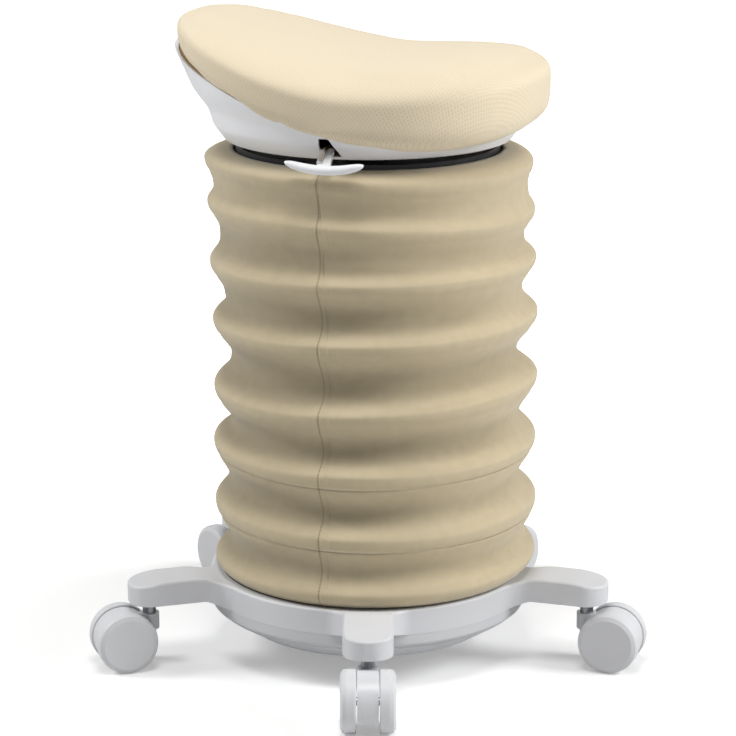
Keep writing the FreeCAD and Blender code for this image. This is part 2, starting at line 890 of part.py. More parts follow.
def seat_shell():
    """Moulded shell: a flared bowl cut off along the saddle, with a slot for the release lever."""
    body = new_body("seat_shell")
    wall = d.shell_wall
    bowl = add_sketch(body, "XZ_Plane")
    corners = [(d.shell_hole_radius, d.shell_bottom)] + shell_profile(0)
    corners += shell_profile(wall)[::-1] + [(d.shell_hole_radius, d.shell_bottom + wall)]
    outline(bowl, corners)
    turn_feature(body, "Revolution", bowl)
    round_corners(body, corners, turned_view)
    rim = add_sketch(body, "XZ_Plane")
    saddle_outline(rim)
    feature(body, "Pocket", rim, 500, middle=True)
    slot = add_sketch(body, "XZ_Plane")
    corners = [
        (-5, d.shell_bottom + 3.2),
        (15, d.shell_bottom + 3.2),
        (13, d.shell_bottom + 8),
        (5, d.shell_bottom + 21.6),
        (-4.6, d.shell_bottom + 20.8),
    ]
    outline(slot, corners)
    feature(body, "Pocket", slot, 200, reverse=True)
    place(body, turn=d.seat_turn.value)
    return body


def saddle_outline(sketch):
    """Side view of everything above the saddle's rim: a straight rear run, an arc and a box over them."""
    low, low_at = d.saddle_low.value, d.saddle_low_at.value
    radius, straight = d.saddle_arc.value, d.saddle_straight_from.value
    gap = d.soft_gap.value
    ends = [(x, saddle_height(x) - gap) for x in (-215.0, straight, 90.0, 215.0)]
    rear, start, middle, front = [Vector(x, z, 0) for x, z in ends]
    top = 680.0
    line = sketch.addGeometry(Part.LineSegment(rear, start))
    arc = sketch.addGeometry(Part.Arc(start, middle, front))
    right = sketch.addGeometry(Part.LineSegment(front, Vector(front.x, top, 0)))
    over = sketch.addGeometry(Part.LineSegment(Vector(front.x, top, 0), Vector(rear.x, top, 0)))
    left = sketch.addGeometry(Part.LineSegment(Vector(rear.x, top, 0), rear))
    for first, second in ((right, over), (over, left), (left, line)):
        relate(sketch, "Coincident", first, 2, second, 1)
    bind(sketch, "Radius", arc, d.saddle_arc)


def ridge_height(along):
    """Height of the cushion's top along its middle line: a dip just ahead of the middle, higher at the rear."""
    dip = d.seat_dip_height.value
    dip_at, rear_rise, front_rise = 20.0, 42.0, 19.0
    if along < dip_at:
        return dip + rear_rise * ((dip_at - along) / 180) ** 1.65
    return dip + front_rise * ((along - dip_at) / 150) ** 1.6


def cushion_solid(inset):
    """Saddle cushion: closed curves one above the other from under the board to the crown, cut off on the board."""
    half_length = d.saddle_length.value / 2 - inset
    half_width = d.saddle_width.value / 2 - inset
    shift = d.cushion_shift.value
    plan, around, belly_share, below_board = 2.5, 48, 0.52, 25.0
    levels = [(-1.0, 0.25), (-0.95, 0.6), (-0.8, 0.84), (-0.4, 0.97), (0.0, 1.0)]
    levels += [(0.4, 0.975), (0.7, 0.88), (0.88, 0.72), (0.97, 0.48), (0.995, 0.22)]

    def middle(height):
        return Part.Vertex(Vector(shift, 0, height))

    wires = [middle(saddle_height(shift) - below_board)]
    for lift, reach in levels:
        points = []
        for step in range(around):
            turn = 2 * math.pi * step / around
            c, t = math.cos(turn), math.sin(turn)
            edge = (abs(c) ** plan + abs(t) ** plan) ** (-1 / plan)
            along = shift + half_length * edge * c * reach
            across = half_width * edge * t * reach
            board = saddle_height(along) + inset
            crown = ridge_height(along) - inset
            belly = board + belly_share * (crown - board)
            floor = board - below_board
            height = belly + lift * (crown - belly if lift > 0 else belly - floor)
            points.append(Vector(along, across, height))
        curve = Part.BSplineCurve()
        curve.interpolate(points, PeriodicFlag=True)
        wires.append(Part.Wire([curve.toShape()]))
    wires.append(middle(ridge_height(shift) - inset))
    return Part.makeLoft(wires, True).cut(saddle_band(-150.0, inset))


def seat_pieces():
    seat_shell()
    thickness = d.cover_thickness.value
    foam = cushion_solid(thickness)
    skins = [cushion_solid(0.0).Shells[0], foam.Shells[0].reversed()]
    cover = Part.makeSolid(Part.makeCompound(skins))
    gap = d.soft_gap.value
    band = saddle_band(-gap - d.board_thickness.value, -gap)
    keep = inner_bowl()
    notch = Part.makeBox(18, 120, 60, Vector(-8, -180, d.saddle_low.value - 20))
    board = band.common(keep).cut(notch)
    place(own_shape("seat_board", board), turn=d.seat_turn.value)
    place(own_shape("cushion_foam", foam), turn=d.seat_turn.value)
    place(own_shape("seat_cover", cover), turn=d.seat_turn.value)
    turned(
        "seat_socket",
        [
            (d.cylinder_radius + 0.02, d.cap_height + 4.2),
            (22, d.cap_height + 4.2, 2),
            (22, d.shell_bottom - 5),
            (58, d.shell_bottom - 5, 2),
            (58, d.shell_bottom - 0.1),
            (d.cylinder_radius + 0.02, d.shell_bottom - 0.1),
        ],
    )
    ring("mechanism_plate", 32, 60, d.shell_bottom + 3.1, d.shell_bottom + 5)


def inner_bowl():
    """Space inside the seat shell, which the board fills to a small gap."""
    wall = d.shell_wall.value + 1.0
    profile = [(0.0, d.shell_bottom.value + wall)]
    profile += [(size(c[0]).value, size(c[1]).value) for c in shell_profile(wall)]
    profile.append((0.0, profile[-1][1]))
    points = [Vector(r, 0, z) for r, z in profile]
    return Part.Face(Part.makePolygon(points + points[:1])).revolve(ORIGIN, UP, 360)


# Release lever

def lever_pieces():
    height, arm = d.lever_height.value, d.lever_arm.value
    reach, handle = d.handle_reach.value, d.handle_height.value
    radius = d.lever_radius.value
    start, bend = Vector(0, 6, height), Vector(0, 17 - reach, height)
    end = Vector(0, 4 - reach, handle + 1.5)
    back = (start - bend).normalize()
    ahead = (end - bend).normalize()
    half = back.getAngle(ahead) / 2
    round_radius = 8.0
    cut = round_radius / math.tan(half)
    first, last = bend + back * cut, bend + ahead * cut
    inward = (back + ahead).normalize()
    middle = bend + inward * (round_radius / math.sin(half) - round_radius)
    path = Part.Wire(
        [
            Part.makeLine(start, first),
            Part.Arc(first, middle, last).toShape(),
            Part.makeLine(last, end),
        ]
    )
    section = Part.Wire([Part.makeCircle(radius, start, Vector(0, 1, 0))])
    rod = path.makePipeShell([section], True, True)
    hub = Part.makeCylinder(4.3, 8, Vector(-4, -arm, height), Vector(1, 0, 0))
    bore = Part.makeCylinder(2.05, 20, Vector(-10, -arm, height), Vector(1, 0, 0))
    rod = rod.fuse(hub).cut(bore)
    place(own_shape("lever_rod", rod), turn=d.seat_turn.value)
    pin = shaft("lever_pin", 2.0, 20)
    pin_at = Rotation(UP, d.seat_turn.value).multVec(Vector(-10, -arm, 0))
    place(pin, pin_at.x, pin_at.y, d.lever_height, d.seat_turn.value, (Vector(0, 1, 0), 90))
    lever_bracket(arm, height)
    lever_handle(rod)


def lever_bracket(arm, height):
    """Folded bracket on the mechanism plate with two ears for the lever's pin."""
    foot = d.shell_bottom.value + 5.1
    shapes = []
    for side in (1, -1):
        x0 = 6.0 if side > 0 else -8.0
        ear = Part.makeBox(2, 12, height + 4 - foot, Vector(x0, -arm - 6, foot))
        bore = Part.makeCylinder(2.02, 40, Vector(-20, -arm, height), Vector(1, 0, 0))
        shapes.append(ear.cut(bore))
    place(own_shape("lever_bracket", Part.makeCompound(shapes)), turn=d.seat_turn.value)


def lever_handle(rod):
    """Finger bar across the rod's end, bowed downwards, with a boss that takes the rod."""
    reach, height = d.handle_reach.value, d.handle_height.value
    half = d.handle_length.value / 2
    bow = 5.0
    sections = []
    for share in (-1.0, -0.9, -0.5, 0.0, 0.5, 0.9, 1.0):
        rise = bow * share**2
        grip = 2.0 if abs(share) == 1.0 else (3.6 if abs(share) == 0.9 else 4.4)
        centre = Vector(share * half, -reach, height + rise)
        ellipse = Part.Ellipse(centre + Vector(0, grip * 1.15, 0), centre + Vector(0, 0, grip), centre)
        sections.append(Part.Wire([ellipse.toShape()]))
    bar = Part.makeLoft(sections, True)
    boss_from = Vector(0, -reach - 1, height + 1)
    boss = Part.makeCylinder(4.8, 8, boss_from, Vector(0, 1, 0.35))
    place(own_shape("lever_handle", bar.fuse(boss).cut(rod)), turn=d.seat_turn.value)


def check_and_write():
    """Recomputes, refuses a failed object or shape, and writes one file for each part."""
    doc.recompute()
    failed = [o.Name for o in doc.Objects if "Invalid" in o.State or "Error" in o.State]
    bad = [p.Label for p in parts if p.Shape.isNull() or not p.Shape.isValid()]
    if failed or bad:
        raise RuntimeError(f"failed objects {failed}, bad shapes {bad}")
    os.makedirs("parts", exist_ok=True)
    for part in parts:
        part.Shape.exportStep(f"parts/{part.Label}.step")
    print(len(parts), "parts written")


base_pieces()
castor_pieces()
joint_pieces()
column_pieces()
gas_cylinder()
cap_pieces()
bellows()
bellows_hoops()
seat_pieces()
lever_pieces()
check_and_write()
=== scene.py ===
import math

import bpy
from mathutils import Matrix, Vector


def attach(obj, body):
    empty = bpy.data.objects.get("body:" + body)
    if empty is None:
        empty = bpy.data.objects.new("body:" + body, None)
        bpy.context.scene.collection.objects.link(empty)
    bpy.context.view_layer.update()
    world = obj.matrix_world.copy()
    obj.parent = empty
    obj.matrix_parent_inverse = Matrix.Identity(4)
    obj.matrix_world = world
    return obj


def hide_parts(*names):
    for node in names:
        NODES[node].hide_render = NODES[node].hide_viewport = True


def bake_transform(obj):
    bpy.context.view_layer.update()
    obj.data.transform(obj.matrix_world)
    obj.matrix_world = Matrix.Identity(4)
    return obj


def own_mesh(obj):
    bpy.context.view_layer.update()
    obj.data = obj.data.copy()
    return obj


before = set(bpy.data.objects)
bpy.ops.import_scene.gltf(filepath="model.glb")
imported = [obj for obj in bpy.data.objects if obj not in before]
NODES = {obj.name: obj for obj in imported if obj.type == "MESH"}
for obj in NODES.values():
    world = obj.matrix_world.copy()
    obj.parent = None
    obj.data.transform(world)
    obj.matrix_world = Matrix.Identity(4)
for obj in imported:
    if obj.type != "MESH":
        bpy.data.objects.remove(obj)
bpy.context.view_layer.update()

bl_info = {
    "name": "Wobble Stool",
    "version": (1, 0, 0),
    "blender": (4, 5, 0),
    "location": "View3D > Sidebar > Stool",
    "description": "Dresses the packed wobble stool: sleeve, cushion, plastics, metals and a studio",
    "category": "Object",
}

MM = 0.001

# Heights in millimetres of the hoops sewn into the sleeve, lowest first.
HOOPS = [98.0, 154.0, 216.0, 276.0, 342.0, 399.0, 452.0, 496.0]
# Radius of the fabric between each hoop and the next, in millimetres.
WAISTS = [147.0, 144.0, 142.0, 141.0, 146.0, 149.0, 153.0]
# How full each crest is: a low value gives a broad crest and a tight waist.
FULLNESS = [1.8, 1.9, 2.1, 2.7, 3.1, 3.3, 2.9]
# How far each hoop hangs out of level at its rim, right side up, and to the right, in millimetres.
TILTS = [3.0, 2.0, 2.0, 5.5, 3.5, 2.0, -4.0, -2.0]
LEANS = [7.4, 7.6, 6.6, 7.6, 7.0, 5.0, 3.2, 1.0]
SEAT_TURN = math.radians(-16.0)
SEAM_TURN = math.radians(-107.5)
# Mean radius of the sleeve, whose girth is the cloth's flat width, in millimetres.
MEAN_RADIUS = 152.0
# Radii between which the painted shade on the knit runs from its darkest, in a fold, to none, on a crest.
FOLD_SHADE_FULL_RADIUS, FOLD_SHADE_END_RADIUS = 0.141, 0.158
# Sizes in millimetres of the knit's loops, the seam's stitches and the seat's eyelets.
LOOP_MM = 1.8
STITCH_MM = 3.0
EYELET_MM = 3.4

# Camera fitted to the photograph: place in metres, tilt, and focal length in pixels of a 736 pixel frame.
CAMERA_PLACE = (0.0, -2.722, 0.9735)
CAMERA_TILT = math.radians(75.79)
FOCAL_PIXELS, FRAME_PIXELS, SENSOR = 2834.3, 736.0, 36.0


# Sizes and colours that a user would change

def millimetres(name, description, default):
    return bpy.props.FloatProperty(
        name=name, description=description, default=default * MM, unit="LENGTH", precision=4
    )


def colour(name, description, default):
    return bpy.props.StringProperty(name=name, description=description, default=default)


class StoolSleeveSizes(bpy.types.PropertyGroup):
    crest_radius: millimetres("Crest radius", "Radius of the sleeve at its hoops", 160.0)
    foot_radius: millimetres("Foot radius", "Radius where the sleeve is clipped to the base", 149.0)
    foot_height: millimetres("Foot height", "Height of the sleeve's lower edge", 84.6)
    neck_radius: millimetres("Neck radius", "Radius of the sleeve's upper edge", 131.0)
    neck_height: millimetres("Neck height", "Height of the sleeve's upper edge", 506.5)
    wall: millimetres("Wall", "Thickness of the knitted fabric", 1.6)


class StoolCushionSizes(bpy.types.PropertyGroup):
    length: millimetres("Length", "Length of the saddle cushion", 356.0)
    width: millimetres("Width", "Width of the saddle cushion", 328.0)
    dip_height: millimetres("Dip height", "Height of the lowest place of the crown", 602.0)


class StoolColours(bpy.types.PropertyGroup):
    sleeve: colour("Sleeve", "Knitted fabric of the sleeve", "#C2B496")
    seat: colour("Seat", "Spacer mesh of the cushion", "#DED0B5")
    base: colour("Base", "Moulded star base", "#CFD0D3")
    # The tray's colour is a little darker than the base's: painted shade for its place under the drum.
    tray: colour("Tray", "Lower cover of the base", "#C6C7CA")
    castor: colour("Castors", "Castor hoods and wheels", "#D2D3D6")
    shell: colour("Shell", "Seat shell and lever handle", "#ECEDF0")


# Small tools for meshes

def only(piece):
    """Makes one object the only selected and active one."""
    bpy.ops.object.select_all(action="DESELECT")
    piece.select_set(True)
    bpy.context.view_layer.objects.active = piece


def start(name):
    """Names the primitive just added and opens it in edit mode, all selected."""
    piece = bpy.context.active_object
    piece.name = piece.data.name = name
    bpy.ops.object.mode_set(mode="EDIT")
    bpy.ops.mesh.select_all(action="SELECT")
    return piece


def settle(piece):
    """Leaves edit mode and puts the object at the origin, its place in its mesh."""
    if bpy.context.mode != "OBJECT":
        bpy.ops.object.mode_set(mode="OBJECT")
    only(piece)
    bpy.ops.object.transform_apply(location=True, rotation=True, scale=True)
    return piece


def modify(piece, kind, **settings):
    """Adds a modifier with its settings and applies it."""
    only(piece)
    made = piece.modifiers.new(kind.title(), kind)
    for name, value in settings.items():
        setattr(made, name, value)
    bpy.ops.object.modifier_apply(modifier=made.name)


def smooth(piece, angle=40.0):
    only(piece)
    bpy.ops.object.shade_smooth_by_angle(angle=math.radians(angle))


def seat_axes(x, y):
    """Distances along and across the saddle of a point given in the row frame."""
    c, s = math.cos(SEAT_TURN), math.sin(SEAT_TURN)
    return x * c + y * s, -x * s + y * c


def from_seat(along, across):
    c, s = math.cos(SEAT_TURN), math.sin(SEAT_TURN)
    return along * c - across * s, along * s + across * c


# Materials

def linear(code):
    """Linear colour of an sRGB hex value."""
    parts = [int(code[i : i + 2], 16) / 255 for i in (1, 3, 5)]
    return [c / 12.92 if c <= 0.04045 else ((c + 0.055) / 1.055) ** 2.4 for c in parts] + [1.0]


def add(tree, kind, values=None, **settings):
    """Adds a node: settings are its attributes, values its sockets' numbers or incoming links."""
    made = tree.nodes.new(kind)
    for name, value in settings.items():
        setattr(made, name, value)
    for socket, value in (values or {}).items():
        if isinstance(value, bpy.types.NodeSocket):
            tree.links.new(value, made.inputs[socket])
        else:
            made.inputs[socket].default_value = value
    return made


def new_material(name, shader_values):
    """Material with one Principled shader, and its tree and shader."""
    material = bpy.data.materials.new(name)
    material.use_nodes = True
    tree = material.node_tree
    tree.nodes.clear()
    shader = add(tree, "ShaderNodeBsdfPrincipled", shader_values)
    output = add(tree, "ShaderNodeOutputMaterial", {"Surface": shader.outputs["BSDF"]})
    output.location = (300, 0)
    return material, tree, shader


def shades(tree, code, factor, spread):
    """Colour that runs by a factor from a little darker to a little lighter than a hex value."""
    base = linear(code)
    ramp = add(tree, "ShaderNodeValToRGB", {"Fac": factor})
    ramp.color_ramp.elements[0].color = [c * (1 - spread) for c in base[:3]] + [1]
    ramp.color_ramp.elements[1].color = [min(c * (1 + spread), 1.0) for c in base[:3]] + [1]
    return ramp.outputs["Color"]


def moulded(name, code, roughness, grain_mm, depth_mm, coat=0.0):
    """Injection-moulded plastic: spark-eroded grain, faint flow marks and edges rubbed smooth."""
    material, tree, shader = new_material(
        name, {"Roughness": roughness, "IOR": 1.5, "Coat Weight": coat, "Coat Roughness": 0.3}
    )
    at = add(tree, "ShaderNodeTexCoord").outputs["Object"]
    flow = add(tree, "ShaderNodeTexNoise", {"Vector": at, "Scale": 14.0, "Detail": 3.0})
    grain = add(
        tree, "ShaderNodeTexNoise", {"Vector": at, "Scale": 1000.0 / grain_mm, "Detail": 2.0}
    )
    tree.links.new(shades(tree, code, flow.outputs["Fac"], 0.035), shader.inputs["Base Color"])
    edge = add(tree, "ShaderNodeNewGeometry").outputs["Pointiness"]
    worn = add(
        tree,
        "ShaderNodeMapRange",
        {"Value": edge, "From Min": 0.5, "From Max": 0.58, "To Min": roughness, "To Max": roughness * 0.7},
    )
    rough = add(
        tree,
        "ShaderNodeMath",
        {0: flow.outputs["Fac"], 1: 0.12, 2: worn.outputs["Result"]},
        operation="MULTIPLY_ADD",
    )
    tree.links.new(rough.outputs["Value"], shader.inputs["Roughness"])
    bump = add(
        tree,
        "ShaderNodeBump",
        {"Height": grain.outputs["Fac"], "Distance": depth_mm * MM, "Strength": 0.5},
    )
    tree.links.new(bump.outputs["Normal"], shader.inputs["Normal"])
    return material


def metal(name, code, roughness, line_mm=0.0, metallic=1.0):
    """Metal: smooth when plated, or with fine turning lines round the column's axis."""
    material, tree, shader = new_material(name, {"Metallic": metallic, "Roughness": roughness})
    at = add(tree, "ShaderNodeTexCoord").outputs["Object"]
    haze = add(tree, "ShaderNodeTexNoise", {"Vector": at, "Scale": 60.0, "Detail": 4.0})
    tree.links.new(shades(tree, code, haze.outputs["Fac"], 0.06), shader.inputs["Base Color"])
    rough = add(
        tree,
        "ShaderNodeMapRange",
        {"Value": haze.outputs["Fac"], "To Min": roughness * 0.8, "To Max": roughness * 1.25},
    )
    tree.links.new(rough.outputs["Result"], shader.inputs["Roughness"])
    if line_mm:
        stretched = add(tree, "ShaderNodeMapping", {"Vector": at, "Scale": (30.0, 30.0, 1000.0 / line_mm)})
        lines = add(
            tree, "ShaderNodeTexNoise", {"Vector": stretched.outputs["Vector"], "Scale": 1.0, "Detail": 2.0}
        )
        bump = add(
            tree,
            "ShaderNodeBump",
            {"Height": lines.outputs["Fac"], "Distance": 0.05 * MM, "Strength": 0.4},
        )
        tree.links.new(bump.outputs["Normal"], shader.inputs["Normal"])
    return material


def knit(name, code):
    """Fine warp knit of the sleeve: columns of small loops, soft and without shine, its seam, and painted
    shade in its folds.
    """
    material, tree, shader = new_material(
        name,
        {"Roughness": 0.9, "IOR": 1.5, "Sheen Weight": 0.25, "Sheen Roughness": 0.5,
         "Specular IOR Level": 0.25},
    )
    uv = add(tree, "ShaderNodeUVMap", uv_map="cloth").outputs["UV"]
    split = add(tree, "ShaderNodeSeparateXYZ", {"Vector": uv})
    # The UV map is in millimetres. Real loops are 0.8 mm, finer than shows.
    turns = 2 * math.pi / LOOP_MM

    def wave(source, rate, operation="SINE"):
        run = add(tree, "ShaderNodeMath", {0: source, 1: rate}, operation="MULTIPLY")
        return add(tree, "ShaderNodeMath", {0: run.outputs[0]}, operation=operation).outputs[0]

    wales = wave(split.outputs["X"], turns)
    courses = wave(split.outputs["Y"], turns)
    loops = add(tree, "ShaderNodeMath", {0: wales, 1: courses}, operation="MULTIPLY")
    level = add(tree, "ShaderNodeMath", {0: loops.outputs[0], 1: 0.5, 2: 0.5}, operation="MULTIPLY_ADD")
    at = add(tree, "ShaderNodeTexCoord").outputs["Object"]
    slub = add(tree, "ShaderNodeTexNoise", {"Vector": at, "Scale": 90.0, "Detail": 4.0})
    mixed = add(
        tree,
        "ShaderNodeMath",
        {0: level.outputs[0], 1: 0.45, 2: slub.outputs["Fac"]},
        operation="MULTIPLY_ADD",
    )
    tone = add(tree, "ShaderNodeMapRange", {"Value": mixed.outputs[0], "From Min": 0.3, "From Max": 1.15})
    ground = shades(tree, code, tone.outputs["Result"], 0.08)
    # Painted shade: the knit is made darker in the folds, down to 0.68 of its colour, than on the crests
    # where a hoop stretches it.
    spread = add(tree, "ShaderNodeVectorMath", {0: at, 1: (1.0, 1.0, 0.0)}, operation="MULTIPLY")
    far = add(tree, "ShaderNodeVectorMath", {0: spread.outputs["Vector"]}, operation="LENGTH")
    fold = add(
        tree,
        "ShaderNodeMapRange",
        {"Value": far.outputs["Value"], "From Min": FOLD_SHADE_FULL_RADIUS, "From Max": FOLD_SHADE_END_RADIUS,
         "To Min": 0.68, "To Max": 1.0},
        interpolation_type="SMOOTHSTEP",
    )
    ground = add(
        tree,
        "ShaderNodeVectorMath",
        {0: ground, "Scale": fold.outputs["Result"]},
        operation="SCALE",
    ).outputs["Vector"]
    # The sewn seam is a thin darker line of stitches.
    off = add(
        tree, "ShaderNodeMath", {0: split.outputs["X"], 1: -SEAM_TURN * MEAN_RADIUS}, operation="ADD"
    )
    width = add(tree, "ShaderNodeMath", {0: off.outputs[0]}, operation="ABSOLUTE")
    line = add(
        tree,
        "ShaderNodeMapRange",
        {"Value": width.outputs[0], "From Min": 0.4, "From Max": 1.1, "To Min": 1.0, "To Max": 0.0},
    )
    stitch = wave(split.outputs["Y"], 2 * math.pi / STITCH_MM)
    depth = add(tree, "ShaderNodeMath", {0: stitch, 1: 0.2, 2: 0.55}, operation="MULTIPLY_ADD")
    share = add(
        tree, "ShaderNodeMath", {0: line.outputs["Result"], 1: depth.outputs[0]}, operation="MULTIPLY"
    )
    sewn = add(
        tree,
        "ShaderNodeMix",
        {"Factor": share.outputs[0], "A": ground, "B": [c * 0.35 for c in linear(code)[:3]] + [1]},
        data_type="RGBA",
    )
    tree.links.new(sewn.outputs["Result"], shader.inputs["Base Color"])
    bump = add(
        tree,
        "ShaderNodeBump",
        {"Height": level.outputs[0], "Distance": 0.25 * MM, "Strength": 0.5},
    )
    tree.links.new(bump.outputs["Normal"], shader.inputs["Normal"])
    return material


def spacer_mesh(name, code):
    """Spacer mesh of the seat: rows of small open eyelets set diagonally, over a softer ground."""
    material, tree, shader = new_material(
        name,
        {"Roughness": 0.85, "IOR": 1.5, "Sheen Weight": 0.2, "Sheen Roughness": 0.4,
         "Specular IOR Level": 0.3},
    )
    uv = add(tree, "ShaderNodeUVMap", uv_map="cloth").outputs["UV"]
    # The UV map is in millimetres, and the rows of eyelets run diagonally over it.
    turned = add(
        tree,
        "ShaderNodeMapping",
        {"Vector": uv, "Rotation": (0, 0, math.radians(38.0)),
         "Scale": (1 / EYELET_MM, 1 / EYELET_MM, 1.0)},
    )
    dots = add(
        tree,
        "ShaderNodeTexVoronoi",
        {"Vector": turned.outputs["Vector"], "Scale": 1.0, "Randomness": 0.22},
        voronoi_dimensions="2D",
    )
    eyelet = add(
        tree,
        "ShaderNodeMapRange",
        {"Value": dots.outputs["Distance"], "From Min": 0.12, "From Max": 0.42},
        interpolation_type="SMOOTHSTEP",
    )
    at = add(tree, "ShaderNodeTexCoord").outputs["Object"]
    soft = add(tree, "ShaderNodeTexNoise", {"Vector": at, "Scale": 25.0, "Detail": 3.0})
    body = shades(tree, code, soft.outputs["Fac"], 0.02)
    hole = add(
        tree,
        "ShaderNodeMix",
        {"Factor": eyelet.outputs["Result"], "A": [c * 0.9 for c in linear(code)[:3]] + [1], "B": body},
        data_type="RGBA",
    )
    tree.links.new(hole.outputs["Result"], shader.inputs["Base Color"])
    bump = add(
        tree,
        "ShaderNodeBump",
        {"Height": eyelet.outputs["Result"], "Distance": 0.25 * MM, "Strength": 0.4},
    )
    tree.links.new(bump.outputs["Normal"], shader.inputs["Normal"])
    return material


def plywood(name, code):
    """Bent plywood: straight grain 3 mm wide along the board."""
    material, tree, shader = new_material(name, {"Roughness": 0.6, "IOR": 1.5})
    at = add(tree, "ShaderNodeTexCoord").outputs["Object"]
    run = add(tree, "ShaderNodeMapping", {"Vector": at, "Scale": (6.0, 330.0, 60.0)})
    grain = add(tree, "ShaderNodeTexNoise", {"Vector": run.outputs["Vector"], "Scale": 1.0, "Detail": 5.0})
    tree.links.new(shades(tree, code, grain.outputs["Fac"], 0.35), shader.inputs["Base Color"])
    return material


def dress(material, *names):
    """Gives CAD nodes a material in place of their plain one."""
    for name in names:
        piece = NODES[name]
        if not piece.material_slots:
            piece.data.materials.append(material)
        for material_slot in piece.material_slots:
            material_slot.material = material


def numbered(stem, ends=("",)):
    return [f"{stem}_{n}{end}" for n in range(1, 6) for end in ends]


# Sleeve

def sleeve_profile(sizes):
    """Radii and heights of the sleeve, upwards, in millimetres, about 2 mm apart."""
    crest = sizes.crest_radius / MM
    points = [(sizes.foot_radius / MM, sizes.foot_height / MM)]
    foot = HOOPS[0] - points[0][1]
    for step in range(1, 6):
        share = step / 6
        radius = points[0][0] + (crest - points[0][0]) * math.sin(share * math.pi / 2) ** 0.9
        points.append((radius, points[0][1] + foot * share))
    for index, waist in enumerate(WAISTS):
        low, high = HOOPS[index], HOOPS[index + 1]
        gap = high - low
        steps = round(gap / 1.9)
        for step in range(steps):
            share = step / steps
            height = low + gap * share
            swing = abs(math.cos(math.pi * share ** 1.06)) ** FULLNESS[index]
            radius = waist + (crest - waist) * swing
            below_hoop = high - height
            radius -= 0.8 * math.exp(-(((below_hoop - 8.0) / 1.6) ** 2))
            points.append((radius, height))
    top, neck, last = HOOPS[-1], sizes.neck_radius / MM, sizes.neck_height / MM
    for step in range(9):
        share = step / 8
        turn = share * math.pi / 2
        points.append((crest - (crest - neck) * (1 - math.cos(turn)), top + (last - top) * math.sin(turn)))
    return points


def sleeve_section(name, points):
    """Tube of fabric through rings of the profile, extruded upwards ring by ring."""
    around = 240
    radius, height = points[0]
    bpy.ops.object.select_all(action="DESELECT")
    bpy.ops.mesh.primitive_circle_add(
        vertices=around, radius=radius * MM, fill_type="NOTHING", location=(0, 0, height * MM)
    )
    piece = start(name)
    for wider, higher in points[1:]:
        bpy.ops.mesh.extrude_region_move(
            TRANSFORM_OT_translate={"value": (0, 0, (higher - height) * MM)}
        )
        scale = wider / radius
        bpy.ops.transform.resize(value=(scale, scale, 1), center_override=(0, 0, 0))
        radius, height = wider, higher
    return settle(piece)


def between_hoops(values, height):
    """Value at a height, run smoothly from each hoop's own to the next one's."""
    if height <= HOOPS[0]:
        return values[0]
    for index in range(len(HOOPS) - 1):
        low, high = HOOPS[index], HOOPS[index + 1]
        if height <= high:
            share = (height - low) / (high - low)
            share = share * share * (3 - 2 * share)
            return values[index] + (values[index + 1] - values[index]) * share
    return values[-1]


def sag(height):
    """How far the fabric between two hoops hangs down under its own weight."""
    for low, high in zip(HOOPS, HOOPS[1:]):
        if low < height < high:
            return 0.15 * (high - low) * math.sin(math.pi * (height - low) / (high - low))
    return 0.0


def shape_sleeve(piece, profile):
    """Moves the rings' points: close together at the seam, drawn in there, and uneven as cloth is."""
    seam = SEAM_TURN
    waves = [0.9 * index for index in range(len(HOOPS))]
    for vertex in piece.data.vertices:
        x, y, z = (c / MM for c in vertex.co)
        radius, angle = math.hypot(x, y), math.atan2(y, x) - seam
        angle -= 0.8 * math.sin(angle)
        away = angle * radius
        from_hoop = min(abs(hoop - z) for hoop in HOOPS)
        above_hoop = min((z - hoop for hoop in HOOPS), key=abs)
        slack = min(from_hoop / 25.0, 1.0)
        edge = max(0.0, min((z - profile[0][1]) / 12.0, (profile[-1][1] - z) / 12.0, 1.0))
        turn = angle + seam
        tilt, lean = between_hoops(TILTS, z), between_hoops(LEANS, z)
        phase = between_hoops(waves, z)
        radius += edge * slack * 1.2 * math.sin(3 * turn + z / 17.0)
        radius += edge * slack * 0.7 * math.sin(7 * turn - z / 11.0 + 1.3)
        radius -= edge * 0.8 * math.exp(-((away / 0.9) ** 2))
        pucker = math.exp(-((away / 10.0) ** 2)) * math.exp(-(((above_hoop + 3.0) / 7.0) ** 2))
        radius += edge * 0.45 * pucker * math.cos(away * 2 * math.pi / 4.2)
        z += edge * (tilt * math.cos(turn) + 1.0 * math.sin(2 * turn + phase))
        z -= edge * sag(vertex.co.z / MM) * (0.55 + 0.45 * abs(math.sin(turn)))
        grip = 0.6 + 0.4 * edge if z < HOOPS[0] else edge
        vertex.co = (
            (radius * math.cos(turn) + lean * grip) * MM,
            radius * math.sin(turn) * MM,
            z * MM,
        )


def map_cloth(piece, place):
    """Adds the UV map "cloth", in millimetres, from a function of a point."""
    layer = piece.data.uv_layers.new(name="cloth")
    for polygon in piece.data.polygons:
        spots = [place(piece.data.vertices[v].co) for v in polygon.vertices]
        for loop, spot in zip(polygon.loop_indices, spots):
            u, v, turn = spot
            if turn and u < max(s[0] for s in spots) - turn / 2:
                u += turn
            layer.data[loop].uv = (u, v)


